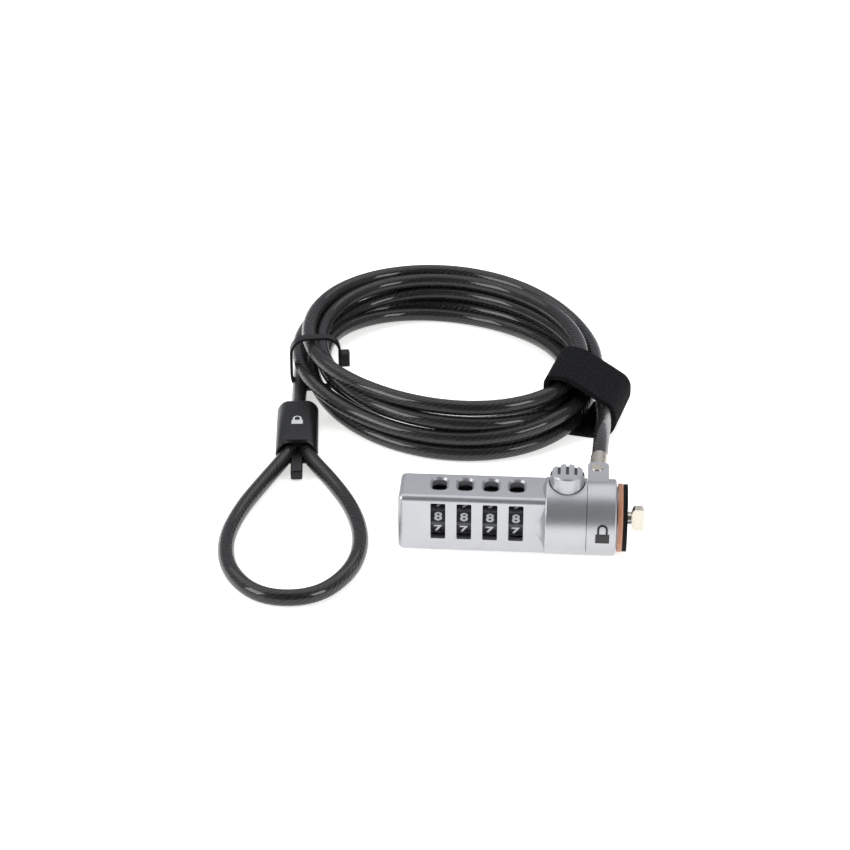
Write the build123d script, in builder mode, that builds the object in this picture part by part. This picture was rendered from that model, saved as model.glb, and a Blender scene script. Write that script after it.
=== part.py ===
"""Four-dial laptop cable lock with a push button, a turning T-bar and a coiled steel cable.

The lock body lies along X with its T-bar at +X. +Y is the back, where the cable leaves, and +Z is
up. The origin is under the middle of the lock, on the surface it lies on. Sizes are millimetres.
"""

import math
import os

from build123d import *

os.makedirs("parts", exist_ok=True)

# ---------------------------------------------------------------- driving dimensions
end_margin = 4.45  # from the last dial's middle to the end of the square part
dial_cover = 0.85  # from the dials' ridges to the front and the back face
box_height = 16.8
box_edge_r = 1.6
end_edge_r = 1.5
drum_r = 10.4  # round part and collar
drum_edge_r = 0.4
drum_length = 14.4  # from the square part to the swivel collar
collar_length = 8.05
tab_end = 12.0  # how far the anchor tab reaches behind the axis

dial_count = 4
dial_pitch = 7.0
first_dial_x = 10.85
dial_r = 6.2  # over the ridges between digits
dial_width = 5.6
digit_count = 10
window_width = 4.0
window_height = 10.8
window_top_gap = 1.9  # metal left above a front window
top_window_length = 6.2
top_window_y = 0.65

core_r = 1.5
tube_r = 2.3
hub_r = 4.6
hub_wall = 0.8
fin_width = 0.6
fin_length = 1.0
core_travel = 1.2

button_r = 4.65
button_top = 13.7
button_travel = 3.0
button_recess = 0.3  # width of the sunk ring round the button
grip_pitch = 2.25
grip_depth = 0.9
grip_width = 0.8

spindle_r = 1.35
head_length = 6.4
head_width = 2.6
head_thickness = 3.1
tip_reach = 4.65  # how far the head stands out of the pad
slot_pin_r = 0.5
slot_pin_spacing = 5.0

pad_r = 9.15
pad_thickness = 1.1
pad_hole_r = 3.7
ring_r = 9.3
ring_thickness = 1.5
ring_gap = 0.4  # between the collar and the coloured ring

rivet_y = 8.9
rivet_r = 1.72
eye_r = 2.4
ferrule_r = 2.45
cable_r = 2.25

# named fits
running = 0.05  # a shaft or slide that moves
seated = 0.03  # a piece that stays where it is pressed or screwed
free = 0.15  # moving pieces that only pass each other

# places that follow from the above, x measured from the left end
box_length = first_dial_x + dial_pitch * (dial_count - 1) + end_margin  # square part for the dials
seam_x = box_length + drum_length  # joint between the round part and the swivel collar
collar_end_x = seam_x + collar_length
tip_x = collar_end_x + ring_gap + ring_thickness + pad_thickness + tip_reach
button_x = seam_x - 5.4
rivet_x = seam_x + 2.7
box_width = 2 * (dial_r + dial_cover)
left = -tip_x / 2
axis_y = -(tab_end - drum_r) / 2
axis_z = drum_r
travel_ratio = core_travel / button_travel


def across(x):
    """The plane square to the lock's axis, x from the left end; its own x is +Y and its y is +Z."""
    return Plane(origin=(left + x, axis_y, axis_z), x_dir=(0, 1, 0), z_dir=(1, 0, 0))


def level(z):
    """The horizontal plane at a height z above the lock's axis."""
    return Plane(origin=(left, axis_y, axis_z + z))


def upright(y):
    """The upright plane along the lock, y behind its axis, facing the front; its y is +Z."""
    return Plane(origin=(left, axis_y + y, axis_z), x_dir=(1, 0, 0), z_dir=(0, -1, 0))


def save(piece, name):
    piece.label = name
    export_step(piece, f"parts/{name}.step")


dial_places = [first_dial_x + dial_pitch * i for i in range(dial_count)]

# ---------------------------------------------------------------- places inside the body
bay_r = dial_r + free
hub_length = dial_pitch - 0.2
bay_start = dial_places[0] - hub_length / 2 - 0.1
bay_end = dial_places[-1] + hub_length / 2 + 0.1
cover_thickness = 0.8
cover_start = 3.4
cover_end = box_length - 0.3
cover_inside = box_width / 2 - cover_thickness
bulkhead = 1.3  # left wall of the dial bay
plug_bore_r = 5.2
well_start = button_x - 4.5
well_end = button_x + 3.0
plug_start = well_end + 0.1
well_front = -2.5
well_back = 3.9
well_floor = -5.1
tube_seat = 1.9
set_screw_r = 2.35
spring_room_r = set_screw_r + running
cover_screw_x = 4.9
cover_screw_spread = 7.4
cover_screw_r = 0.8
screw_head_r = 1.45
screw_head_depth = 0.62
cap_bottom = 8.4
counterbore_floor = cap_bottom - button_travel - 0.1
recess_floor = 8.8
stop_pin_x = button_x + 0.9
stop_pin_z = -0.4
stop_pin_r = 0.5
spring_y = -3.2
spring_hole_r = 1.2
spring_floor = -1.5
nose_screw_r = 0.8
nose_screw_y = 5.2
nose_screw_z = -2.8
nose_screw_end = button_x + 1.1
set_pin_x = 1.5
set_pin_r = 0.3
set_pin_y = 2.15
cove_r = drum_r - box_width / 2
drum_start = box_length + cove_r


def body_outline():
    """The square dial part running into the round part through a turned cove."""
    with BuildPart() as outline:
        with BuildSketch(across(0)):
            RectangleRounded(box_width, box_height, box_edge_r)
        extrude(amount=drum_start + drum_edge_r)
        fillet(outline.faces().sort_by(Axis.X)[0].edges(), end_edge_r)
        with BuildSketch(upright(0)):
            with BuildLine():
                Polyline(
                    (box_length, box_width / 2),
                    (box_length, 0),
                    (seam_x, 0),
                    (seam_x, drum_r),
                    (drum_start + drum_edge_r, drum_r),
                )
                RadiusArc(
                    (drum_start, drum_r - drum_edge_r),
                    (drum_start + drum_edge_r, drum_r),
                    drum_edge_r,
                )
                Line((drum_start, drum_r - drum_edge_r), (drum_start, drum_r - drum_edge_r - 0.01))
                ThreePointArc(
                    (drum_start, drum_r - drum_edge_r - 0.01),
                    (box_length + cove_r * 0.62, box_width / 2 + cove_r * 0.26),
                    (box_length, box_width / 2),
                )
            make_face()
        revolve(axis=Axis((left, axis_y, axis_z), (1, 0, 0)))
    return outline.part


outer = body_outline()

# ---------------------------------------------------------------- housing
with BuildPart() as housing:
    add(outer)
    # dial bay, open to the back
    with BuildSketch(across(bay_start)):
        Circle(bay_r)
        with Locations((box_width / 4, 0)):
            Rectangle(box_width / 2, 2 * bay_r)
    extrude(amount=bay_end - bay_start, mode=Mode.SUBTRACT)
    # seat of the back cover
    with BuildSketch(across(cover_start)):
        with Locations((cover_inside + cover_thickness, 0)):
            Rectangle(2 * cover_thickness, 2 * bay_r)
    extrude(amount=cover_end - cover_start, mode=Mode.SUBTRACT)
    # windows in the front face, then in the top face, each with a bevelled rim
    with BuildSketch(upright(-box_width / 2)):
        for x in dial_places:
            with Locations((x, box_height / 2 - window_top_gap - window_height / 2)):
                RectangleRounded(window_width, window_height, 0.35)
    extrude(amount=-box_width / 4, mode=Mode.SUBTRACT)
    with BuildSketch(level(box_height / 2)):
        for x in dial_places:
            with Locations((x, top_window_y)):
                RectangleRounded(window_width, top_window_length, 1.7)
    extrude(amount=-box_height / 4, mode=Mode.SUBTRACT)
    with BuildSketch(level(box_height / 2)):
        for x in dial_places:
            with Locations((x, top_window_y)):
                RectangleRounded(window_width + 1.1, top_window_length + 1.1, 2.2)
    extrude(amount=-0.55, taper=45, mode=Mode.SUBTRACT)
    # seats of the slotted tube and the bores of the core along the axis
    with BuildSketch(across(bay_start - bulkhead)):
        Circle(tube_r + seated)
    extrude(amount=bulkhead, mode=Mode.SUBTRACT)
    with BuildSketch(across(bay_end)):
        Circle(tube_r + seated)
    extrude(amount=tube_seat, mode=Mode.SUBTRACT)
    with BuildSketch(across(bay_end)):
        Circle(core_r + running)
    extrude(amount=well_start - bay_end, mode=Mode.SUBTRACT)
    with BuildSketch(across(0)):
        Circle(spring_room_r)
    extrude(amount=bay_start - bulkhead, mode=Mode.SUBTRACT)
    # button bore, well for its legs, pocket for its spring
    with BuildSketch(level(counterbore_floor)):
        with Locations((button_x, 0)):
            Circle(button_r + running)
    extrude(amount=drum_r, mode=Mode.SUBTRACT)
    with BuildSketch(level(recess_floor)):
        with Locations((button_x, 0)):
            Circle(button_r + button_recess)
    extrude(amount=drum_r, mode=Mode.SUBTRACT)
    with BuildSketch(level(well_floor)):
        with Locations(((well_start + well_end) / 2, (well_front + well_back) / 2)):
            Rectangle(well_end - well_start, well_back - well_front)
    extrude(amount=counterbore_floor - well_floor, mode=Mode.SUBTRACT)
    with BuildSketch(level(spring_floor)):
        with Locations((button_x, spring_y)):
            Circle(spring_hole_r)
    extrude(amount=counterbore_floor - spring_floor, mode=Mode.SUBTRACT)
    # bore for the nose sleeve, its two screws, the stop pin and the set screw's pin
    with BuildSketch(across(well_end)):
        Circle(plug_bore_r)
    extrude(amount=seam_x - well_end, mode=Mode.SUBTRACT)
    with BuildSketch(across(nose_screw_end)):
        with Locations((nose_screw_y, nose_screw_z), (-nose_screw_y, nose_screw_z)):
            Circle(nose_screw_r + seated)
    extrude(amount=seam_x - nose_screw_end, mode=Mode.SUBTRACT)
    with BuildSketch(upright(drum_r)):
        with Locations((stop_pin_x, stop_pin_z)):
            Circle(stop_pin_r + seated)
    extrude(amount=drum_r - well_back, mode=Mode.SUBTRACT)
    with BuildSketch(level(-box_height / 2)):
        with Locations((set_pin_x, set_pin_y)):
            Circle(set_pin_r + seated)
    extrude(amount=box_height / 2 + 1.6, mode=Mode.SUBTRACT)
    # threaded holes of the cover screws
    with BuildSketch(upright(cover_inside)):
        for z in (-cover_screw_spread / 2, cover_screw_spread / 2):
            with Locations((cover_screw_x, z)):
                Circle(cover_screw_r + seated)
    extrude(amount=3.2, mode=Mode.SUBTRACT)
save(housing.part, "housing")

# ---------------------------------------------------------------- back cover and its screws
with BuildPart() as back_cover:
    add(outer)
    with BuildSketch(across(cover_start + seated)):
        with Locations((cover_inside + cover_thickness, 0)):
            Rectangle(2 * cover_thickness, 2 * (bay_r - seated))
    extrude(amount=cover_end - cover_start - 2 * seated, mode=Mode.INTERSECT)
    with Locations(upright(box_width / 2)):
        for z in (-cover_screw_spread / 2, cover_screw_spread / 2):
            with Locations((cover_screw_x, z)):
                Cylinder(cover_screw_r + seated, 4, mode=Mode.SUBTRACT)
    with BuildSketch(upright(box_width / 2)):
        for z in (-cover_screw_spread / 2, cover_screw_spread / 2):
            with Locations((cover_screw_x, z)):
                Circle(screw_head_r + seated)
    extrude(amount=screw_head_depth, taper=45, mode=Mode.SUBTRACT)
save(back_cover.part, "back_cover")

with BuildPart() as cover_screws:
    with BuildSketch(upright(box_width / 2)):
        for z in (-cover_screw_spread / 2, cover_screw_spread / 2):
            with Locations((cover_screw_x, z)):
                Circle(screw_head_r)
    extrude(amount=screw_head_depth, taper=45)
    with BuildSketch(upright(box_width / 2)):
        for z in (-cover_screw_spread / 2, cover_screw_spread / 2):
            with Locations((cover_screw_x, z)):
                Circle(cover_screw_r)
    extrude(amount=3.4)
    with BuildSketch(upright(box_width / 2)):
        for z in (-cover_screw_spread / 2, cover_screw_spread / 2):
            with Locations((cover_screw_x, z)):
                Rectangle(1.7, 0.35)
                Rectangle(0.35, 1.7)
    extrude(amount=0.35, mode=Mode.SUBTRACT)
save(cover_screws.part, "cover_screws")

# ---------------------------------------------------------------- dials, hubs and slotted tube
key_width = 0.9
key_reach = 0.35
lug_inner_r = tube_r + running
lug_outer_r = hub_r - hub_wall
sector = 360 / (2 * digit_count)
ring_start = -2.8  # lug ring, measured from the dial's middle
ring_end = -0.2


def make_dial(x):
    """A ten-sided ring with a notch for the hub's key behind every digit."""
    with BuildPart() as dial:
        with BuildSketch(across(x - dial_width / 2)) as profile:
            RegularPolygon(dial_r, digit_count)
            fillet(profile.vertices(), 0.35)
            Circle(hub_r + running, mode=Mode.SUBTRACT)
            with PolarLocations(hub_r, digit_count, start_angle=180 / digit_count):
                Rectangle(2 * (key_reach + running), key_width + 2 * running, mode=Mode.SUBTRACT)
        extrude(amount=dial_width)
        rims = dial.edges().filter_by(GeomType.LINE).group_by(Axis.X)
        chamfer(rims[0].filter_by(lambda e: e.length > 2) + rims[-1].filter_by(
            lambda e: e.length > 2), 0.3)
    return dial.part


def make_hub(x):
    """A sleeve with nine stop lugs inside; the tenth place is left out as the gate for a fin."""
    with BuildPart() as hub:
        with BuildSketch(across(x - hub_length / 2)):
            Circle(hub_r)
            Circle(lug_outer_r, mode=Mode.SUBTRACT)
        extrude(amount=hub_length)
        with BuildSketch(across(x - hub_length / 2)):
            Circle(hub_r + 0.7)
            Circle(hub_r - 0.1, mode=Mode.SUBTRACT)
        extrude(amount=(hub_length - dial_width) / 2 - 0.1)
        with BuildSketch(across(x - dial_width / 2)):
            with Locations((0, hub_r)):
                Rectangle(key_width, 2 * key_reach)
            Circle(hub_r - 0.2, mode=Mode.SUBTRACT)
        extrude(amount=dial_width)
        with BuildSketch(across(x + ring_start)):
            for i in range(digit_count - 1):
                middle = -90 + 2 * sector * (i + 1)
                a, b = math.radians(middle - sector / 2), math.radians(middle + sector / 2)
                reach = lug_outer_r + 0.1
                with BuildLine():
                    Polyline(
                        (lug_inner_r * math.cos(a), lug_inner_r * math.sin(a)),
                        (reach * math.cos(a), reach * math.sin(a)),
                    )
                    RadiusArc(
                        (reach * math.cos(a), reach * math.sin(a)),
                        (reach * math.cos(b), reach * math.sin(b)),
                        -reach,
                    )
                    Polyline(
                        (reach * math.cos(b), reach * math.sin(b)),
                        (lug_inner_r * math.cos(b), lug_inner_r * math.sin(b)),
                    )
                    RadiusArc(
                        (lug_inner_r * math.cos(b), lug_inner_r * math.sin(b)),
                        (lug_inner_r * math.cos(a), lug_inner_r * math.sin(a)),
                        lug_inner_r,
                    )
                make_face()
        extrude(amount=ring_end - ring_start)
    return hub.part


for number, place in enumerate(dial_places, 1):
    save(make_dial(place), f"dial_{number}")
    save(make_hub(place), f"hub_{number}")

with BuildPart() as hub_tube:
    tube_start = bay_start - bulkhead + 0.05
    with BuildSketch(across(tube_start)):
        Circle(tube_r)
        Circle(core_r + running, mode=Mode.SUBTRACT)
        with Locations((0, -tube_r)):
            Rectangle(fin_width + 2 * running, 2 * tube_r, mode=Mode.SUBTRACT)
    extrude(amount=bay_end + tube_seat - 0.05 - tube_start)
save(hub_tube.part, "hub_tube")

# ---------------------------------------------------------------- click spring behind the dials
leaf = 0.25
leaf_y = cover_inside - 0.01
bump_z = -1.9
with BuildPart() as click_spring:
    with BuildSketch(upright(leaf_y)):
        with Locations(((bay_start + bay_end) / 2, -bay_r + 0.55)):
            Rectangle(bay_end - bay_start - 0.3, 0.9)
        for x in dial_places:
            with Locations((x, (-bay_r + 0.55 - 1.2) / 2)):
                Rectangle(2.4, bay_r - 0.55 - 1.2)
    extrude(amount=leaf)
    with BuildSketch(across(dial_places[0] - 1.0)):
        with Locations((leaf_y - leaf, bump_z)):
            Circle(0.35)
    bump_amount = 2.0
    extrude(amount=bump_amount)
    for x in dial_places[1:]:
        with BuildSketch(across(x - 1.0)):
            with Locations((leaf_y - leaf, bump_z)):
                Circle(0.35)
        extrude(amount=bump_amount)
    # the bumps press only on the dials, not into the cover
    with BuildSketch(across(0)):
        with Locations((leaf_y + 1, 0)):
            Rectangle(2, 2 * box_height)
    extrude(amount=seam_x, mode=Mode.SUBTRACT)
save(click_spring.part, "click_spring")

# ---------------------------------------------------------------- core with its four fins
core_start = bay_start - bulkhead
tail_r = 0.8
tail_start = 4.5
core_nose = 1.2  # half height of the flattened right end
wedge_x = button_x - 2.58  # where the wedge face crosses the axis
with BuildPart() as core_shaft:
    with BuildSketch(across(core_start)):
        Circle(core_r)
    extrude(amount=well_start - 0.4 - core_start)
    with BuildSketch(across(tail_start)):
        Circle(tail_r)
    extrude(amount=core_start - tail_start)
    for x in dial_places:
        with BuildSketch(across(x + ring_end + 0.1)):
            with Locations((0, -(lug_outer_r - 0.1) / 2)):
                Rectangle(fin_width, lug_outer_r - 0.1)
        extrude(amount=fin_length)
    # right end, flattened and cut to the slope of the button's wedge
    with BuildSketch(upright(0.8)):
        with BuildLine():
            Polyline(
                (well_start - 2, -0.9),
                (wedge_x + travel_ratio * 0.9 - running, -0.9),
                (wedge_x - travel_ratio * 0.9 - running, 0.9),
                (well_start - 2, 0.9),
                close=True,
            )
        make_face()
    extrude(amount=1.6)
save(core_shaft.part, "core_shaft")

# ---------------------------------------------------------------- springs, set screw and its pin
def make_spring(centre, direction, length, coil_r, wire_r, turns):
    """A round-wire compression spring with its first and last turns open."""
    height = length - 2 * wire_r
    start = Plane(origin=centre, z_dir=direction).offset(wire_r)
    path = start * Helix(pitch=height / turns, height=height, radius=coil_r)
    with BuildPart() as spring:
        with BuildSketch(Plane(origin=path @ 0, z_dir=path % 0)):
            Circle(wire_r)
        sweep(path=path, is_frenet=True)
    return spring.part


set_screw_end = 2.4
save(
    make_spring(
        (left + set_screw_end + 0.05, axis_y, axis_z),
        (1, 0, 0),
        core_start - set_screw_end - 0.1,
        1.15,
        0.17,
        4,
    ),
    "core_spring",
)
button_spring_top = 11.3
save(
    make_spring(
        (left + button_x, axis_y + spring_y, axis_z + spring_floor + 0.02),
        (0, 0, 1),
        button_spring_top - spring_floor - 0.04,
        0.9,
        0.17,
        9,
    ),
    "button_spring",
)

with BuildPart() as set_screw:
    with BuildSketch(across(0.15)):
        Circle(set_screw_r)
    extrude(amount=set_screw_end - 0.15)
    # screwdriver slot, and the quarter-turn flat that the pin rides in
    with BuildSketch(across(0.15)):
        Rectangle(2 * set_screw_r + 1, 0.7)
    extrude(amount=0.7, mode=Mode.SUBTRACT)
    groove_r = set_pin_y - set_pin_r - 0.1
    with BuildSketch(across(set_pin_x - set_pin_r - 0.1)) as groove:
        Circle(set_screw_r + 1)
        Circle(groove_r, mode=Mode.SUBTRACT)
        with BuildLine():
            Polyline((0, 0), (6.0, 6.7), (-8, 6.7), (-8, -7.2), close=True)
        make_face(mode=Mode.SUBTRACT)
    extrude(amount=2 * set_pin_r + 0.2, mode=Mode.SUBTRACT)
save(set_screw.part, "set_screw")

with BuildPart() as set_screw_pin:
    with BuildSketch(level(-box_height / 2 + 0.1)):
        with Locations((set_pin_x, set_pin_y)):
            Circle(set_pin_r)
    extrude(amount=box_height / 2 + 1.4)
save(set_screw_pin.part, "set_screw_pin")

# ---------------------------------------------------------------- T-bar spindle, pinion and clip
tooth_count = 8
pinion_pitch_r = button_travel / (math.pi / 2)
tooth_pitch = 2 * math.pi * pinion_pitch_r / tooth_count
addendum = 0.32
dedendum = 0.42
backlash = 0.12
flank = math.tan(math.radians(25))
pinion_start = button_x - 0.7
pinion_end = button_x + 2.6
clip_start = button_x - 1.2
shaft_step_r = 1.05
nose_end = collar_end_x + ring_gap + ring_thickness
face_x = nose_end + pad_thickness
head_x = tip_x - head_thickness

with BuildPart() as tbar_spindle:
    with BuildSketch(across(pinion_end + 0.1)):
        Circle(spindle_r)
    extrude(amount=head_x - pinion_end)
    with BuildSketch(across(clip_start - 0.25)) as stub:
        Circle(shaft_step_r)
        with Locations((0, shaft_step_r + 0.75)):
            Rectangle(4, 2, mode=Mode.SUBTRACT)
    extrude(amount=pinion_end + 0.1 - clip_start + 0.25)
    with BuildSketch(across(clip_start)):
        Circle(shaft_step_r + 1)
        Circle(0.8, mode=Mode.SUBTRACT)
    extrude(amount=0.4, mode=Mode.SUBTRACT)
    # hammer head with bevelled shoulders and corners
    with BuildSketch(upright(head_width / 2)):
        with BuildLine():
            Polyline(
                (head_x - 0.35, -spindle_r),
                (head_x, -head_length / 2 + 0.6),
                (head_x + 0.5, -head_length / 2),
                (tip_x - 0.6, -head_length / 2),
                (tip_x, -head_length / 2 + 0.6),
                (tip_x, head_length / 2 - 0.6),
                (tip_x - 0.6, head_length / 2),
                (head_x + 0.5, head_length / 2),
                (head_x, head_length / 2 - 0.6),
                (head_x - 0.35, spindle_r),
                close=True,
            )
        make_face()
    extrude(amount=head_width)
    fillet(tbar_spindle.edges().group_by(Axis.X)[-1], 0.35)
save(tbar_spindle.part, "tbar_spindle")


def tooth_outline(middle_angle):
    """One pinion tooth: straight flanks from the root circle to the tip, thinned by the backlash."""
    root, tip = pinion_pitch_r - dedendum - 0.05, pinion_pitch_r + addendum
    half = (tooth_pitch / 2 - backlash) / 2
    corners = []
    for radius, sign in ((root, -1), (tip, -1), (tip, 1), (root, 1)):
        width = half - (radius - pinion_pitch_r) * flank * 0.9
        angle = middle_angle + sign * width / radius
        corners.append((radius * math.cos(angle), radius * math.sin(angle)))
    return corners


with BuildPart() as pinion:
    with BuildSketch(across(pinion_start)):
        Circle(pinion_pitch_r - dedendum)
        for i in range(tooth_count):
            with BuildLine():
                Polyline(*tooth_outline(2 * math.pi * i / tooth_count), close=True)
            make_face()
        with BuildSketch(across(pinion_start), mode=Mode.SUBTRACT):
            Circle(shaft_step_r + seated)
            with Locations((0, shaft_step_r + 0.75 + seated)):
                Rectangle(4, 2, mode=Mode.SUBTRACT)
    extrude(amount=pinion_end - pinion_start)
save(pinion.part, "pinion")

with BuildPart() as spindle_clip:
    with BuildSketch(across(clip_start + 0.05)):
        Circle(1.7)
        Circle(0.83, mode=Mode.SUBTRACT)
        with Locations((0, -1.5)):
            Rectangle(1.3, 3, mode=Mode.SUBTRACT)
    extrude(amount=0.3)
save(spindle_clip.part, "spindle_clip")

# ---------------------------------------------------------------- push button
leg_front = pinion_pitch_r - addendum  # tips of the rack teeth
leg_root = pinion_pitch_r + dedendum
leg_back = well_back - 0.15
leg_start = button_x - 0.55
leg_end = button_x + 2.35
wedge_back = button_x - 1.6
rack_low = well_floor + button_travel + 0.2
block_bottom = 5.45
with BuildPart() as button:
    with BuildSketch(level(cap_bottom)):
        with Locations((button_x, 0)):
            Circle(button_r)
    extrude(amount=button_top - cap_bottom)
    chamfer(button.edges().group_by(Axis.Z)[-1], 0.35)
    # grip grooves in the back two thirds of the top, the outer two open to the side
    with BuildSketch(upright(-button_r / 3)):
        for i in range(-2, 3):
            with Locations((button_x + i * grip_pitch, button_top)):
                Rectangle(grip_width, 2 * grip_depth)
    extrude(amount=-button_r * 4 / 3 - 1, mode=Mode.SUBTRACT)
    # block under the cap, with the wedge leg on the left and the rack leg at the back
    with BuildSketch(level(block_bottom)):
        with Locations(((well_start + well_end) / 2, (well_front + well_back) / 2)):
            Rectangle(well_end - well_start - 2 * free, well_back - well_front - 2 * free)
        with Locations((button_x, 0)):
            Circle(button_r, mode=Mode.INTERSECT)
    extrude(amount=cap_bottom - block_bottom)
    with BuildSketch(upright(1.2)):
        with BuildLine():
            Polyline(
                (wedge_x + travel_ratio * 1.15, -1.15),
                (wedge_back, -1.15),
                (wedge_back, block_bottom + 0.5),
                (well_start + free, block_bottom + 0.5),
                (well_start + free, (wedge_x - well_start - free) / travel_ratio),
                close=True,
            )
        make_face()
    extrude(amount=2.4)
    with BuildSketch(upright(leg_back)):
        with Locations((leg_start, rack_low)):
            Rectangle(leg_end - leg_start, block_bottom - rack_low, align=(Align.MIN, Align.MIN))
    extrude(amount=leg_back - leg_root)
    # rack teeth; a gap of the rack faces a tooth of the pinion at rest
    half_thick = (tooth_pitch / 2 - backlash) / 2
    with BuildSketch(across(leg_start)):
        for i in range(-1, 4):
            middle = (i + 0.5) * tooth_pitch
            with BuildLine():
                Polyline(
                    (leg_root + 0.1, middle - half_thick - dedendum * flank),
                    (leg_front, middle - half_thick + addendum * flank),
                    (leg_front, middle + half_thick - addendum * flank),
                    (leg_root + 0.1, middle + half_thick + dedendum * flank),
                    close=True,
                )
            make_face()
    extrude(amount=leg_end - leg_start)
    # slot for the stop pin, pocket for the spring
    with BuildSketch(upright(leg_back + 1)):
        with Locations((stop_pin_x, stop_pin_z + button_travel / 2)):
            Rectangle(2 * (stop_pin_r + free), button_travel + 2 * (stop_pin_r + running))
    extrude(amount=1 + 0.9, mode=Mode.SUBTRACT)
    with BuildSketch(level(cap_bottom)):
        with Locations((button_x, spring_y)):
            Circle(spring_hole_r)
    extrude(amount=button_spring_top - cap_bottom, mode=Mode.SUBTRACT)
    with BuildSketch(level(block_bottom - 1)):
        with Locations((button_x, spring_y)):
            Circle(spring_hole_r)
    extrude(amount=cap_bottom - block_bottom + 1, mode=Mode.SUBTRACT)
save(button.part, "button")

with BuildPart() as button_stop_pin:
    with BuildSketch(upright(drum_r - 0.3)):
        with Locations((stop_pin_x, stop_pin_z)):
            Circle(stop_pin_r)
    extrude(amount=drum_r - 0.3 - (leg_back - 0.8))
save(button_stop_pin.part, "button_stop_pin")

# ---------------------------------------------------------------- nose: sleeve, screws, pins, ring, pad
spigot_r = 7.1
flange_r = 8.4
flange_start = collar_end_x + 0.15
boss_r = pad_hole_r - 0.1
with BuildPart() as nose_sleeve:
    with BuildSketch(across(plug_start)):
        Circle(plug_bore_r - seated)
    extrude(amount=seam_x - plug_start)
    with BuildSketch(across(seam_x)):
        Circle(spigot_r)
    extrude(amount=flange_start - seam_x)
    with BuildSketch(across(flange_start)):
        Circle(flange_r)
    extrude(amount=nose_end - flange_start)
    with BuildSketch(across(nose_end)):
        Circle(boss_r)
    extrude(amount=pad_thickness - 0.15)
    with BuildSketch(across(plug_start)):
        Circle(spindle_r + running)
        with Locations((-slot_pin_spacing / 2, 0), (slot_pin_spacing / 2, 0)):
            Circle(slot_pin_r + seated)
        with Locations((nose_screw_y, nose_screw_z), (-nose_screw_y, nose_screw_z)):
            Circle(nose_screw_r + seated)
    extrude(amount=face_x - plug_start, mode=Mode.SUBTRACT)
    with BuildSketch(across(nose_end)):
        with Locations((nose_screw_y, nose_screw_z), (-nose_screw_y, nose_screw_z)):
            Circle(screw_head_r + seated)
    extrude(amount=-1.0, mode=Mode.SUBTRACT)
save(nose_sleeve.part, "nose_sleeve")

with BuildPart() as nose_screws:
    with BuildSketch(across(nose_screw_end + 0.1)):
        with Locations((nose_screw_y, nose_screw_z), (-nose_screw_y, nose_screw_z)):
            Circle(nose_screw_r)
    extrude(amount=nose_end - 0.5 - nose_screw_end)
    with BuildSketch(across(nose_end - 1.0 + 0.01)):
        with Locations((nose_screw_y, nose_screw_z), (-nose_screw_y, nose_screw_z)):
            Circle(screw_head_r)
    extrude(amount=0.9)
    with BuildSketch(across(nose_end)):
        with Locations((nose_screw_y, nose_screw_z), (-nose_screw_y, nose_screw_z)):
            Rectangle(0.4, 1.8)
    extrude(amount=-0.5, mode=Mode.SUBTRACT)
save(nose_screws.part, "nose_screws")

with BuildPart() as slot_pins:
    with BuildSketch(across(plug_start + 2)):
        with Locations((-slot_pin_spacing / 2, 0), (slot_pin_spacing / 2, 0)):
            Circle(slot_pin_r)
    extrude(amount=face_x + 1.35 - plug_start - 2)
    chamfer(slot_pins.edges().group_by(Axis.X)[-1], 0.15)
save(slot_pins.part, "slot_pins")

with BuildPart() as spacer_ring:
    with BuildSketch(across(collar_end_x + ring_gap)):
        Circle(ring_r)
        Circle(flange_r + seated, mode=Mode.SUBTRACT)
    extrude(amount=ring_thickness)
    fillet(spacer_ring.edges().group_by(Axis.X)[-1].sort_by(SortBy.LENGTH)[-1], 0.6)
save(spacer_ring.part, "spacer_ring")

with BuildPart() as face_pad:
    with BuildSketch(across(nose_end)):
        Circle(pad_r)
        Circle(pad_hole_r, mode=Mode.SUBTRACT)
    extrude(amount=pad_thickness)
save(face_pad.part, "face_pad")

# ---------------------------------------------------------------- swivel collar, rivet and ferrule
ear_top = 10.3
ear_slot = (5.2, 8.0)
ear_bottom = 3.4
tab_width = 5.75
tab_middle = seam_x + 0.15 + tab_width / 2
with BuildPart() as swivel_collar:
    with BuildSketch(across(seam_x + 0.15)):
        Circle(drum_r)
    extrude(amount=collar_end_x - seam_x - 0.15)
    chamfer(swivel_collar.edges().group_by(Axis.X)[-1], 0.35)
    with BuildSketch(across(seam_x + 0.15)) as tab:
        with Locations((0, ear_bottom)):
            Rectangle(tab_end, ear_top - ear_bottom, align=(Align.MIN, Align.MIN))
    extrude(amount=tab_width)
    fillet(swivel_collar.edges().filter_by(Axis.Z).sort_by(Axis.Y)[-2:], 1.6)
    with BuildSketch(across(seam_x)):
        Circle(spigot_r + running)
    extrude(amount=collar_end_x - seam_x, mode=Mode.SUBTRACT)
    # slot for the ferrule's eye, deep enough for the eye and its neck to swing
    with BuildSketch(level(ear_slot[0])):
        with Locations((rivet_x, rivet_y)):
            Circle(eye_r + 0.3)
        with Locations((tab_middle, rivet_y + 4)):
            Rectangle(2 * tab_width, 8)
    extrude(amount=ear_slot[1] - ear_slot[0], mode=Mode.SUBTRACT)
    with BuildSketch(level(0)):
        with Locations((rivet_x, rivet_y)):
            Circle(rivet_r - 0.3)
    extrude(amount=drum_r + 1, mode=Mode.SUBTRACT)
save(swivel_collar.part, "swivel_collar")

with BuildPart() as anchor_rivet:
    with BuildSketch(level(ear_bottom - 0.2)):
        with Locations((rivet_x, rivet_y)):
            Circle(rivet_r - 0.3 - seated)
    extrude(amount=ear_top - ear_bottom + 0.2)
    with BuildSketch(level(ear_top)):
        with Locations((rivet_x, rivet_y)):
            Circle(rivet_r)
    extrude(amount=0.3)
    chamfer(anchor_rivet.edges().group_by(Axis.Z)[-1], 0.12)
save(anchor_rivet.part, "anchor_rivet")

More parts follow.
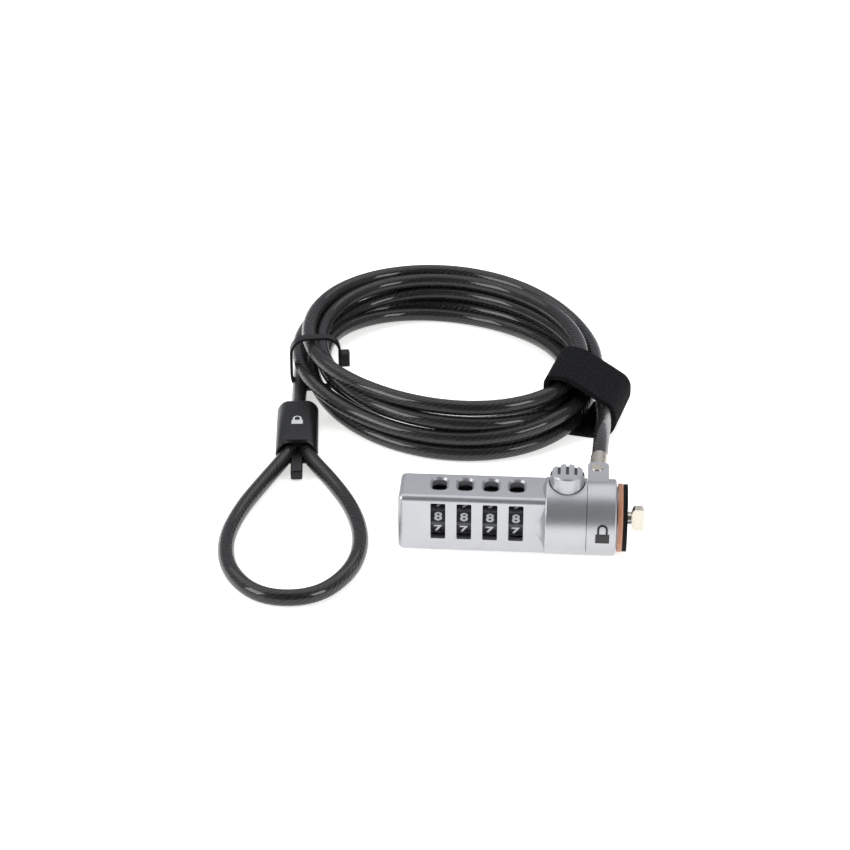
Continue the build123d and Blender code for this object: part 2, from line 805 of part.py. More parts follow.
eye_z = (ear_slot[0] + ear_slot[1]) / 2
eye_thickness = ear_slot[1] - ear_slot[0] - 0.3
barrel_start = 13.4
barrel_end = 21.4
lean = math.degrees(math.atan2(0.7, barrel_end - rivet_y))
barrel = Plane(
    origin=(left + rivet_x, axis_y + rivet_y, axis_z + eye_z),
    x_dir=(math.cos(math.radians(lean)), -math.sin(math.radians(lean)), 0),
    z_dir=(math.sin(math.radians(lean)), math.cos(math.radians(lean)), 0),
)
with BuildPart() as cable_ferrule:
    with BuildSketch(level(eye_z - eye_thickness / 2)):
        with Locations((rivet_x, rivet_y)):
            Circle(eye_r)
    extrude(amount=eye_thickness)
    with BuildSketch(barrel):
        Rectangle(3.6, eye_thickness)
    extrude(amount=barrel_start - rivet_y + 0.5)
    with BuildSketch(barrel.offset(barrel_start - rivet_y)):
        Circle(ferrule_r)
    extrude(amount=barrel_end - barrel_start)
    fillet(cable_ferrule.edges().filter_by(GeomType.CIRCLE).group_by(Axis.Y)[-1], 0.3)
    with BuildSketch(level(eye_z - 3)):
        with Locations((rivet_x, rivet_y)):
            Circle(rivet_r - 0.3 + running)
    extrude(amount=6, mode=Mode.SUBTRACT)
save(cable_ferrule.part, "cable_ferrule")

# ---------------------------------------------------------------- cable: lead, coil, tail and loop
coil_middle = (-25.5, 98.2)
coil_turned = 26.4  # degrees that the oval coil is turned to the left
coil_outer = (46.9, 55.7)
coil_inner = (33.0, 42.6)
coil_height = 17.2
coil_round = 5.5

cable_start = barrel.origin + barrel.z_dir * (barrel_end - rivet_y)
lead_points = [
    (cable_start.X, cable_start.Y, cable_start.Z),
    (21.3, 30.5, 16.6),
    (21.8, 40.5, 14.8),
    (22.2, 51.0, 11.9),
    (22.3, 62.0, 9.4),
    (22.1, 74.0, 7.8),
    (21.4, 86.0, 7.2),
]
tail_points = [
    (-71.4, 95.0, 2.6),
    (-70.8, 86.5, 2.6),
    (-70.1, 79.0, 2.8),
    (-69.4, 70.0, 3.4),
]
loop_points = [
    (-69.4, 41.2, 3.0),
    (-74.1, 27.0, 2.5),
    (-78.9, 10.5, 2.3),
    (-80.9, -6.7, 2.3),
    (-77.4, -22.9, 2.3),
    (-67.4, -34.9, 2.3),
    (-52.9, -33.9, 2.3),
    (-44.7, -20.7, 2.3),
    (-43.1, -4.7, 2.3),
    (-47.0, 12.1, 2.3),
    (-54.6, 27.7, 2.5),
    (-63.4, 41.6, 3.0),
]


def corner_radii(points):
    """The largest arcs that the runs allow: 0.45 of the shorter run over the half turn's tangent."""
    radii = []
    for before, corner, after in zip(points, points[1:], points[2:]):
        arriving, leaving = Vector(*corner) - Vector(*before), Vector(*after) - Vector(*corner)
        half_turn = math.radians(arriving.get_angle(leaving)) / 2
        radii.append(0.45 * min(arriving.length, leaving.length) / math.tan(half_turn))
    return radii


def cable_tube(points, name):
    """The cable along straight runs joined by tangent arcs."""
    radii = corner_radii(points)
    print(name, "radii", [round(r, 1) for r in radii])
    with BuildPart() as tube:
        with BuildLine() as route:
            FilletPolyline(*points, radius=radii)
        path = route.wires()[0]
        with BuildSketch(Plane(origin=path @ 0, z_dir=path % 0)):
            Circle(cable_r)
        sweep(path=path)
    ratio = tube.part.volume / (math.pi * cable_r**2 * path.length)
    print(name, "length", round(path.length, 1), "volume over section times length", round(ratio, 4))
    return tube.part


save(cable_tube(lead_points, "cable_lead"), "cable_lead")
save(cable_tube(tail_points, "cable_tail"), "cable_tail")
save(cable_tube(loop_points, "cable_loop"), "cable_loop")

# ---------------------------------------------------------------- loop sleeve and the crimp inside it
sleeve_back = Vector(*tail_points[-1])
sleeve_front = Vector(-66.5, 41.5, 3.4)
sleeve_axis = (sleeve_front - sleeve_back).normalized()
sleeve_length = (sleeve_front - sleeve_back).length
sleeve_width = 12.4
sleeve_thickness = 6.6
sleeve_shoulder = 4.5
sleeve_mouth = (6.4, 5.6)
crimp_clearance = 0.05
crimp_start, crimp_end = 5.5, 23.5
crimp_size = (9.6, 5.0)
tongue_size = (3.6, 4.4)
tongue_length = 10.5
sleeve_plane = Plane(origin=sleeve_back, x_dir=Vector(0, 0, 1).cross(sleeve_axis), z_dir=sleeve_axis)

with BuildPart() as loop_sleeve:
    with BuildSketch(sleeve_plane):
        SlotOverall(*sleeve_mouth)
    with BuildSketch(sleeve_plane.offset(sleeve_shoulder)):
        SlotOverall(sleeve_width, sleeve_thickness)
    loft()
    with BuildSketch(sleeve_plane.offset(sleeve_shoulder)):
        SlotOverall(sleeve_width, sleeve_thickness)
    extrude(amount=sleeve_length - sleeve_shoulder)
    # tongue between the two legs of the loop
    with BuildSketch(sleeve_plane.offset(sleeve_length - 1)):
        Rectangle(*tongue_size)
    extrude(amount=tongue_length + 1)
    with BuildSketch(sleeve_plane.offset(crimp_start)):
        SlotOverall(crimp_size[0] + 2 * crimp_clearance, crimp_size[1] + 2 * crimp_clearance)
    extrude(amount=crimp_end - crimp_start, mode=Mode.SUBTRACT)
save(loop_sleeve.part, "loop_sleeve")

with BuildPart() as loop_crimp:
    with BuildSketch(sleeve_plane.offset(crimp_start + crimp_clearance)):
        SlotOverall(*crimp_size)
    extrude(amount=crimp_end - crimp_start - 2 * crimp_clearance)
save(loop_crimp.part, "loop_crimp")

with BuildPart() as cable_coil:
    with BuildSketch():
        with Locations(coil_middle):
            Ellipse(*coil_outer, rotation=coil_turned)
            Ellipse(*coil_inner, rotation=coil_turned, mode=Mode.SUBTRACT)
    extrude(amount=coil_height)
    fillet(cable_coil.edges(), coil_round)
    # the back end of the sleeve tucks in under the turns
    with BuildSketch(sleeve_plane.offset(-0.3)):
        SlotOverall(sleeve_width + 0.6, sleeve_thickness + 0.6)
    extrude(amount=sleeve_length, mode=Mode.SUBTRACT)
save(cable_coil.part, "cable_coil")


# ---------------------------------------------------------------- strap round the coil and the lead
strap_place = (17.2, 74.7)
strap_outward = Vector(0.975, -0.222, 0).normalized()
strap_width = 21.0
strap_thickness = 1.3
strap_outline = [(-10.8, 0.05), (-10.8, 18.9), (-3.6, 19.1), (11.4, 10.8), (11.4, 2.8), (6.5, 0.05)]
strap_corner = 3.5
strap_plane = Plane(
    origin=(*strap_place, 0), x_dir=strap_outward, z_dir=Vector(0, 0, 1).cross(strap_outward)
)
strap_up = 1 if strap_plane.y_dir.Z > 0 else -1
with BuildPart() as strap:
    with BuildSketch(strap_plane) as profile:
        with BuildLine():
            Polyline(*[(out, strap_up * height) for out, height in strap_outline], close=True)
        make_face()
        fillet(profile.vertices(), strap_corner)
        offset(amount=-strap_thickness, kind=Kind.INTERSECTION, mode=Mode.SUBTRACT)
    extrude(amount=strap_width / 2, both=True)
save(strap.part, "strap")

# ---------------------------------------------------------------- tie round the coil
tie_place = (-66.2, 90.5)
tie_outward = Vector(-0.985, -0.174, 0).normalized()
tie_size = (15.8, 17.9)
tie_corner = 5.2
tie_strip = (3.0, 0.8)
tie_head = (3.4, 3.6, 4.2)
tie_head_z = 10.0
tie_plane = Plane(
    origin=(*tie_place, tie_size[1] / 2), x_dir=tie_outward, z_dir=Vector(0, 0, 1).cross(tie_outward)
)
with BuildPart() as coil_tie:
    with BuildSketch(tie_plane):
        RectangleRounded(*tie_size, tie_corner)
        RectangleRounded(
            tie_size[0] - 2 * tie_strip[1],
            tie_size[1] - 2 * tie_strip[1],
            tie_corner - tie_strip[1],
            mode=Mode.SUBTRACT,
        )
    extrude(amount=tie_strip[0] / 2, both=True)
    # ratchet head on the inner side
    head_out = -tie_size[0] / 2 - tie_head[0] / 2 + tie_strip[1]
    with BuildSketch(Plane(
        origin=(tie_place[0] + tie_outward.X * head_out, tie_place[1] + tie_outward.Y * head_out, tie_head_z),
        x_dir=tie_outward,
        z_dir=(0, 0, 1),
    )):
        RectangleRounded(tie_head[0], tie_head[1], 0.5)
    extrude(amount=tie_head[2] / 2, both=True)
save(coil_tie.part, "coil_tie")
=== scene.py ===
"""Laptop cable lock with four dials, a push button, a turning T-bar and a coiled steel cable."""

import math

import bmesh
import bpy
from mathutils import Matrix, Vector


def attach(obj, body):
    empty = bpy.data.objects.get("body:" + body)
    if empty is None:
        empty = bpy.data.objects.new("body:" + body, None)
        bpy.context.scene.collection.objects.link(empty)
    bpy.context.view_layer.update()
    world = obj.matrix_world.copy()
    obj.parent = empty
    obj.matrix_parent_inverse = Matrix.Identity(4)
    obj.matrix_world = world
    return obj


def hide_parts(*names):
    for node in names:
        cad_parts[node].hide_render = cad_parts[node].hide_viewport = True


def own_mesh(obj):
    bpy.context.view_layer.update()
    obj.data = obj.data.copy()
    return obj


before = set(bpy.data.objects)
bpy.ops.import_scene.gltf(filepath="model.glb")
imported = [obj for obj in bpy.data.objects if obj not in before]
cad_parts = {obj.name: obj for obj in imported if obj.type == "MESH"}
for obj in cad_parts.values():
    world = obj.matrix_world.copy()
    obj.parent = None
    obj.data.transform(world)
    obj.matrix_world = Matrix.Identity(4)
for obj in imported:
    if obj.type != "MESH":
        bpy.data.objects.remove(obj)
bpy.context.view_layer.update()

# ---------------------------------------------------------------- room
# A white acrylic sheet lit from below and with no horizon, one big soft box overhead and a softer one
# on each side, as for a small shop picture of a metal part.


def rgb(hex_code):
    """sRGB hex to the linear colour that the sockets want."""
    parts = [int(hex_code[i:i + 2], 16) / 255 for i in (1, 3, 5)]
    return [p / 12.92 if p <= 0.04045 else ((p + 0.055) / 1.055) ** 2.4 for p in parts] + [1.0]


def add(material, kind, inputs=None, **settings):
    """Adds a node, sets its properties, and gives its inputs values or links."""
    node = material.node_tree.nodes.new(kind)
    for name, value in settings.items():
        setattr(node, name, value)
    for key, value in (inputs or {}).items():
        if isinstance(value, bpy.types.NodeSocket):
            material.node_tree.links.new(value, node.inputs[key])
        else:
            node.inputs[key].default_value = value
    return node


def new_material(name):
    material = bpy.data.materials.new(name)
    material.use_nodes = True
    return material, material.node_tree.nodes["Principled BSDF"]


def link(material, output, socket):
    material.node_tree.links.new(output, socket)


def piece(name, mesh_data, material):
    """Puts a finished mesh in the scene with one material."""
    thing = bpy.data.objects.new(name, mesh_data)
    bpy.context.scene.collection.objects.link(thing)
    thing.data.materials.clear()
    thing.data.materials.append(material)
    return thing


def from_bmesh(name, bm, material, smooth=True):
    mesh_data = bpy.data.meshes.new(name)
    bm.to_mesh(mesh_data)
    bm.free()
    for face in mesh_data.polygons:
        face.use_smooth = smooth
    return piece(name, mesh_data, material)


table_paper, paper = new_material("backlit white acrylic sheet")
paper.inputs["Base Color"].default_value = rgb("#FAFAFA")
paper.inputs["Roughness"].default_value = 0.9
paper.inputs["Specular IOR Level"].default_value = 0.1
paper.inputs["Emission Color"].default_value = rgb("#FFFEFB")
paper.inputs["Emission Strength"].default_value = 0.6
bm = bmesh.new()
bmesh.ops.create_grid(bm, x_segments=1, y_segments=1, size=6)
table_top = from_bmesh("table_top", bm, table_paper, smooth=False)

world = bpy.data.worlds.new("soft white room")
bpy.context.scene.world = world
world.use_nodes = True
# light walls and ceiling, falling off to a dark wall on the side of the front
backdrop = world.node_tree.nodes["Background"]
backdrop.inputs["Color"].default_value = rgb("#F1F5FF")
around_room = add(world, "ShaderNodeTexCoord")
frontness = add(world, "ShaderNodeVectorMath", {0: around_room.outputs["Generated"], 1: (0.02, -0.86, 0.51)}, operation="DOT_PRODUCT")
wall_light = add(world, "ShaderNodeMapRange", {"Value": frontness.outputs["Value"], "From Min": 0.35, "From Max": 0.95, "To Min": 0.45, "To Max": 0.05}, interpolation_type="SMOOTHSTEP")
link(world, wall_light.outputs["Result"], backdrop.inputs["Strength"])

for name, place, aim, size, power in (
    ("overhead", (-0.12, 0.42, 0.95), (-0.03, 0.06, 0), (1.8, 1.2), 7.0),
    ("left", (-0.9, -0.35, 0.55), (-0.03, 0.03, 0), (0.6, 0.6), 7.5),
    ("right", (0.8, -0.5, 0.5), (0.0, 0.0, 0), (0.5, 0.5), 5.5),
):
    lamp = bpy.data.lights.new(name, "AREA")
    lamp.shape = "RECTANGLE"
    lamp.size, lamp.size_y = size
    lamp.energy = power
    lamp_object = bpy.data.objects.new(name, lamp)
    lamp_object.location = place
    lamp_object.rotation_euler = (Vector(aim) - Vector(place)).to_track_quat("-Z", "Y").to_euler()
    bpy.context.scene.collection.objects.link(lamp_object)

camera = bpy.data.cameras.new("camera")
camera.lens = 98.5
camera.sensor_width = 36
camera.clip_end = 10
camera_object = bpy.data.objects.new("camera", camera)
camera_object.location = (0.010442, -0.548116, 0.328630)
look = Vector((-0.03095, 0.06856, 0)) - camera_object.location
camera_object.rotation_euler = look.to_track_quat("-Z", "Y").to_euler()
bpy.context.scene.collection.objects.link(camera_object)
bpy.context.scene.camera = camera_object
bpy.context.scene.view_settings.view_transform = "Standard"

# ---------------------------------------------------------------- cable
# Galvanised wire rope, 7 strands laid right-handed, under a smoked clear vinyl jacket extruded to
# 4.5 mm. It is one length: out of the swaged eye, five and a half turns, through the sleeve, round
# the loop and back into the sleeve's crimp.
cable_diameter = 0.0045
lead = [
    (0.0209, 0.0206, 0.0170),
    (0.0213, 0.0305, 0.0166),
    (0.0218, 0.0405, 0.0148),
    (0.0222, 0.0510, 0.0119),
    (0.0223, 0.0620, 0.0094),
    (0.0221, 0.0740, 0.0078),
    (0.0214, 0.0860, 0.0072),
]
# each quarter turn's place in the bundle: millimetres outwards from the oval, and height
quarter_turns = [
    (1.6, 7.2), (2.0, 9.4), (2.2, 8.6), (-1.3, 6.5), (0.4, 11.5), (1.0, 14.2), (-1.0, 14.4), (-5.6, 14.6),
    (-4.0, 13.9), (-1.9, 12.5), (-4.7, 11.3), (-3.2, 10.6), (-7.2, 5.4), (-7.2, 2.3), (-5.6, 6.2),
    (-6.8, 8.8), (-3.6, 9.2), (-2.9, 8.3), (-1.9, 3.2), (0.0, 2.4), (-1.6, 4.2), (-3.0, 3.8), (2.6, 2.6),
]
oval_middle = (-0.0255, 0.0977)
oval_across, oval_along, oval_turned = 0.04265, 0.0525, math.radians(26.4)
points_a_turn = 24
coil = []
for i in range(1, points_a_turn * (len(quarter_turns) - 1) // 4):
    quarters = 4 * i / points_a_turn
    before = int(quarters)
    blend = (1 - math.cos(math.pi * (quarters - before))) / 2
    out = quarter_turns[before][0] * (1 - blend) + quarter_turns[before + 1][0] * blend
    height = quarter_turns[before][1] * (1 - blend) + quarter_turns[before + 1][1] * blend
    angle = math.pi / 2 * quarters
    radius = oval_across * oval_along / math.hypot(
        oval_along * math.cos(angle - oval_turned), oval_across * math.sin(angle - oval_turned)
    ) + out / 1000
    radius /= math.cos(math.pi / points_a_turn) ** 1.5
    coil.append((
        oval_middle[0] + radius * math.cos(angle),
        oval_middle[1] + radius * math.sin(angle),
        height / 1000,
    ))
tail = [
    (-0.0714, 0.0950, 0.0026),
    (-0.0708, 0.0865, 0.0026),
    (-0.0701, 0.0790, 0.0028),
    (-0.0694, 0.0700, 0.0034),
    (-0.0691, 0.0620, 0.0034),
    (-0.0690, 0.0550, 0.0032),
    (-0.0691, 0.0480, 0.0031),
]
loop = [
    (-0.0694, 0.0412, 0.0030),
    (-0.0741, 0.0270, 0.0025),
    (-0.0789, 0.0105, 0.0023),
    (-0.0809, -0.0067, 0.0023),
    (-0.0774, -0.0229, 0.0023),
    (-0.0674, -0.0349, 0.0023),
    (-0.0529, -0.0339, 0.0023),
    (-0.0447, -0.0207, 0.0023),
    (-0.0431, -0.0047, 0.0023),
    (-0.0470, 0.0121, 0.0023),
    (-0.0546, 0.0277, 0.0025),
    (-0.0634, 0.0416, 0.0030),
]
inside_sleeve = [(-0.0641, 0.0480, 0.0031), (-0.0646, 0.0560, 0.0032)]
route_points = lead + coil + tail + loop + inside_sleeve

route = bpy.data.curves.new("cable_route", "CURVE")
route.dimensions = "3D"
spline = route.splines.new("NURBS")
spline.points.add(len(route_points) - 1)
for point, place in zip(spline.points, route_points):
    point.co = (*place, 1)
spline.order_u = 3
spline.use_endpoint_u = True
spline.resolution_u = 7
route_object = bpy.data.objects.new("cable_route", route)
centre_line = bpy.data.meshes.new_from_object(route_object)
cable_path = [vertex.co.copy() for vertex in centre_line.vertices]
route.bevel_depth = cable_diameter / 2
route.bevel_resolution = 6
cable_mesh = bpy.data.meshes.new_from_object(route_object)
bpy.data.objects.remove(route_object)

around = len(cable_mesh.vertices) // len(cable_path)
along = [0.0]
for a, b in zip(cable_path, cable_path[1:]):
    along.append(along[-1] + (b - a).length)
while cable_mesh.uv_layers:
    cable_mesh.uv_layers.remove(cable_mesh.uv_layers[0])
lay = cable_mesh.uv_layers.new(name="rope")
for face in cable_mesh.polygons:
    face.use_smooth = True
    turns = [cable_mesh.loops[i].vertex_index % around for i in face.loop_indices]
    for i, turn in zip(face.loop_indices, turns):
        if turn == 0 and max(turns) == around - 1:
            turn = around
        ring = cable_mesh.loops[i].vertex_index // around
        lay.data[i].uv = (along[min(ring, len(along) - 1)] * 1000, turn / around)

rope_lay = 21.0  # millimetres along the rope for one turn of a strand
rope_wires = 21  # wires that show round the rope: three across each of the seven strands
jacket, surface = new_material("smoked clear PVC over galvanised wire rope")
# the wires show through the vinyl as fine slanting lines, the jacket's own skin stays glossy
rope_uv = add(jacket, "ShaderNodeUVMap", uv_map="rope")
split = add(jacket, "ShaderNodeSeparateXYZ", {"Vector": rope_uv.outputs["UV"]})
turn = add(jacket, "ShaderNodeMath", {0: split.outputs["X"], 1: rope_lay}, operation="DIVIDE")
slant = add(jacket, "ShaderNodeMath", {0: split.outputs["Y"], 1: turn.outputs[0]}, operation="ADD")
wires = add(jacket, "ShaderNodeMath", {0: slant.outputs[0], 1: float(rope_wires)}, operation="MULTIPLY")
wire_wave = add(jacket, "ShaderNodeMath", {0: wires.outputs[0], 1: 1.0}, operation="PINGPONG")
strands = add(jacket, "ShaderNodeMath", {0: slant.outputs[0], 1: 7.0}, operation="MULTIPLY")
strand_wave = add(jacket, "ShaderNodeMath", {0: strands.outputs[0], 1: 0.5}, operation="PINGPONG")
strand_weight = add(jacket, "ShaderNodeMath", {0: strand_wave.outputs[0], 1: 0.9}, operation="MULTIPLY")
both = add(jacket, "ShaderNodeMath", {0: wire_wave.outputs[0], 1: strand_weight.outputs[0]}, operation="ADD")
cloud = add(jacket, "ShaderNodeTexNoise", {"Vector": rope_uv.outputs["UV"], "Scale": 0.6, "Detail": 3.0})
uneven = add(jacket, "ShaderNodeMath", {0: cloud.outputs["Fac"], 1: 0.5}, operation="MULTIPLY")
grime = add(jacket, "ShaderNodeMath", {0: both.outputs[0], 1: uneven.outputs[0]}, operation="ADD")
tint = add(jacket, "ShaderNodeValToRGB", {"Fac": grime.outputs[0]})
tint.color_ramp.elements[0].position = 0.25
tint.color_ramp.elements[0].color = rgb("#040404")
tint.color_ramp.elements[1].position = 1.5 / 1.7
tint.color_ramp.elements[1].color = rgb("#1B1A18")
relief = add(jacket, "ShaderNodeBump", {"Height": both.outputs[0], "Strength": 0.5, "Distance": 0.0004})
link(jacket, tint.outputs["Color"], surface.inputs["Base Color"])
link(jacket, relief.outputs["Normal"], surface.inputs["Normal"])
surface.inputs["Roughness"].default_value = 0.42
surface.inputs["Specular IOR Level"].default_value = 0.15
surface.inputs["Coat Weight"].default_value = 0.6
surface.inputs["Coat Roughness"].default_value = 0.1
surface.inputs["Coat IOR"].default_value = 1.53

cable = piece("cable", cable_mesh, jacket)
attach(cable, "cable")
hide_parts("cable_lead", "cable_coil", "cable_tail", "cable_loop")
print("cable length", round(along[-1], 4), "rings", len(cable_path), "around", around)

# ---------------------------------------------------------------- cable end fittings
# Swaged steel eye on a rivet at the lock, nickel plated. The plating is bright but drawn and pressed,
# so it is a little uneven.
plated, surface = new_material("nickel plated swaged steel")
surface.inputs["Base Color"].default_value = rgb("#CFC9BC")
surface.inputs["Metallic"].default_value = 1.0
space = add(plated, "ShaderNodeTexCoord")
draw_marks = add(plated, "ShaderNodeMapping", {"Vector": space.outputs["Object"], "Scale": (1.0, 0.15, 1.0)})
marks = add(plated, "ShaderNodeTexNoise", {"Vector": draw_marks.outputs["Vector"], "Scale": 2500.0, "Detail": 3.0})
plate_rough = add(plated, "ShaderNodeMapRange", {"Value": marks.outputs["Fac"], "To Min": 0.2, "To Max": 0.38})
plate_bump = add(plated, "ShaderNodeBump", {"Height": marks.outputs["Fac"], "Strength": 0.12, "Distance": 0.0001})
link(plated, plate_rough.outputs["Result"], surface.inputs["Roughness"])
link(plated, plate_bump.outputs["Normal"], surface.inputs["Normal"])


def dress(material, *nodes):
    """Gives CAD nodes a material."""
    for node in nodes:
        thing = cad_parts[node]
        thing.data.materials.clear()
        thing.data.materials.append(material)


dress(plated, "cable_ferrule", "anchor_rivet", "tbar_spindle")

# ---------------------------------------------------------------- loop sleeve
# Black nylon shell moulded over the aluminium crimp that joins the two cable ends, with rounded
# shoulders where the cable enters and a dark recessed mouth where the loop comes out.
nylon, surface = new_material("moulded black nylon")
space = add(nylon, "ShaderNodeTexCoord")
# spark-eroded mould texture, grain about 0.12 mm
grain = add(nylon, "ShaderNodeTexNoise", {"Vector": space.outputs["Object"], "Scale": 8000.0, "Detail": 2.0})
shade = add(nylon, "ShaderNodeTexNoise", {"Vector": space.outputs["Object"], "Scale": 180.0, "Detail": 2.0})
tone = add(nylon, "ShaderNodeValToRGB", {"Fac": shade.outputs["Fac"]})
tone.color_ramp.elements[0].color = rgb("#060607")
tone.color_ramp.elements[1].color = rgb("#101011")
grain_bump = add(nylon, "ShaderNodeBump", {"Height": grain.outputs["Fac"], "Strength": 0.25, "Distance": 0.00005})
link(nylon, tone.outputs["Color"], surface.inputs["Base Color"])
link(nylon, grain_bump.outputs["Normal"], surface.inputs["Normal"])
surface.inputs["Roughness"].default_value = 0.34
surface.inputs["Specular IOR Level"].default_value = 0.3

sleeve_back = Vector((-0.0694, 0.0700, 0.0034))
sleeve_front = Vector((-0.0665, 0.0415, 0.0034))
sleeve_width, sleeve_thick = 0.0124, 0.0066
sleeve_axis = (sleeve_front - sleeve_back).normalized()
sleeve_long = (sleeve_front - sleeve_back).length
sleeve_side = Vector((0, 0, 1)).cross(sleeve_axis).normalized()
sleeve_up = sleeve_axis.cross(sleeve_side)
sleeve_place = Matrix((sleeve_side, sleeve_up, sleeve_axis)).transposed().to_4x4()
sleeve_place.translation = sleeve_back + sleeve_axis * sleeve_long / 2
bm = bmesh.new()
bmesh.ops.create_cube(bm, size=1)
bmesh.ops.scale(bm, vec=(sleeve_width, sleeve_thick, sleeve_long), verts=bm.verts)
long_edges = [e for e in bm.edges if abs(e.verts[0].co.z - e.verts[1].co.z) > sleeve_long / 2]
bmesh.ops.bevel(bm, geom=long_edges, offset=sleeve_thick * 0.47, segments=9, profile=0.5, affect="EDGES", material=-1)
back_rim = [e for e in bm.edges if all(v.co.z < -sleeve_long / 2 + 1e-6 for v in e.verts)]
bmesh.ops.bevel(bm, geom=back_rim, offset=0.0024, segments=7, profile=0.5, affect="EDGES", material=-1)
front_rim = [e for e in bm.edges if all(v.co.z > sleeve_long / 2 - 1e-6 for v in e.verts)]
bmesh.ops.bevel(bm, geom=front_rim, offset=0.0005, segments=3, profile=0.5, affect="EDGES", material=-1)
mouth = [f for f in bm.faces if all(v.co.z > sleeve_long / 2 - 1e-6 for v in f.verts)]
bmesh.ops.inset_region(bm, faces=mouth, thickness=0.0004, use_even_offset=True)
mouth = [f for f in bm.faces if f.normal.z > 0.99 and all(v.co.z > sleeve_long / 2 - 1e-6 for v in f.verts)]
mouth = [max(mouth, key=lambda f: f.calc_area())]
deeper = bmesh.ops.extrude_face_region(bm, geom=mouth)
deeper = [v for v in deeper["geom"] if isinstance(v, bmesh.types.BMVert)]
bmesh.ops.delete(bm, geom=mouth, context="FACES")
bmesh.ops.translate(bm, vec=(0, 0, -0.0030), verts=deeper)
bmesh.ops.recalc_face_normals(bm, faces=bm.faces)
# the upper side swells a little, as an oval
for v in bm.verts:
    swell = max(0.0, 1 - (2 * v.co.x / sleeve_width) ** 2)
    if v.co.y * (1 if sleeve_up.z > 0 else -1) > 0:
        v.co.y *= 0.92 + 0.26 * swell
# the upper lip is drawn back in an arch over the two legs of the loop
for v in bm.verts:
    if v.co.z > sleeve_long / 2 - 0.0040:
        arch = max(0.0, 1 - (v.co.x / (sleeve_width * 0.42)) ** 2)
        v.co.z -= 0.0042 * arch * min(1.0, max(0.0, v.co.y / sleeve_thick + 0.35))
tongue = bmesh.ops.create_cube(bm, size=1)["verts"]
bmesh.ops.scale(bm, vec=(0.0034, 0.0030, 0.0135), verts=tongue)
bmesh.ops.translate(bm, vec=(0, -0.0012 * (1 if sleeve_up.z > 0 else -1), sleeve_long / 2 + 0.00375), verts=tongue)
tongue_edges = list({e for v in tongue for e in v.link_edges})
bmesh.ops.bevel(bm, geom=tongue_edges, offset=0.0005, segments=3, profile=0.5, affect="EDGES", material=-1)
bmesh.ops.transform(bm, matrix=sleeve_place, verts=bm.verts)
sleeve = from_bmesh("sleeve_shell", bm, nylon)
sleeve.data.set_sharp_from_angle(angle=math.radians(40))
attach(sleeve, "cable")
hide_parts("loop_sleeve")
dress(nylon, "coil_tie")

# ---------------------------------------------------------------- strap
# Woven nylon hook-and-loop strap, 21 mm wide, wrapped once round the turns and the lead and pressed
# on itself. Its face is loop pile between cross ribs, matt and slightly hairy.
strap_place = Vector((0.0172, 0.0747, 0))
strap_outward = Vector((0.975, -0.222, 0)).normalized()
strap_along = Vector((0, 0, 1)).cross(strap_outward)
strap_width, strap_thick = 0.021, 0.0013
strap_outline = [(-10.8, 0.05), (-10.8, 18.9), (-3.6, 19.1), (11.4, 10.8), (11.4, 2.8), (6.5, 0.05)]
bm = bmesh.new()
corners = [bm.verts.new((out / 1000, up / 1000, 0)) for out, up in strap_outline]
for a, b in zip(corners, corners[1:] + corners[:1]):
    bm.edges.new((a, b))
bmesh.ops.bevel(bm, geom=corners, offset=0.0028, segments=8, profile=0.5, affect="VERTICES", material=-1)
long_sides = [e for e in bm.edges if e.calc_length() > 0.002]
bmesh.ops.subdivide_edges(bm, edges=long_sides, cuts=9)
ring = list(bm.edges)
across = 22
for i in range(across):
    grown = bmesh.ops.extrude_edge_only(bm, edges=ring)["geom"]
    ring = [e for e in grown if isinstance(e, bmesh.types.BMEdge)]
    ring = [e for e in ring if all(v in grown for v in e.verts)]
    bmesh.ops.translate(bm, vec=(0, 0, strap_width / across), verts=[v for v in grown if isinstance(v, bmesh.types.BMVert)])
bmesh.ops.translate(bm, vec=(0, 0, -strap_width / 2), verts=bm.verts)
bmesh.ops.recalc_face_normals(bm, faces=bm.faces)
# distance along the strap for the ribs: walk round the first rim
run = bm.verts.layers.float.new("along")
rim = [e for e in bm.edges if all(v.co.z < -strap_width / 2 + 1e-6 for v in e.verts)]
links = {}
for e in rim:
    for v in e.verts:
        links.setdefault(v, []).append(e.other_vert(v))
walk = [min(links, key=lambda v: v.co.length)]
while len(walk) < len(links):
    walk.append(next(v for v in links[walk[-1]] if v not in walk[-2:] and (len(walk) < 3 or v is not walk[0])))
distance, far = {}, 0.0
for a, b in zip(walk, walk[1:] + walk[:1]):
    distance[(round(a.co.x, 6), round(a.co.y, 6))] = far
    far += (b.co - a.co).length
for v in bm.verts:
    v[run] = distance.get((round(v.co.x, 6), round(v.co.y, 6)), 0.0)
strap_turn = Matrix((strap_outward, Vector((0, 0, 1)), strap_outward.cross(Vector((0, 0, 1))))).transposed().to_4x4()
strap_turn.translation = strap_place
bmesh.ops.transform(bm, matrix=strap_turn, verts=bm.verts)

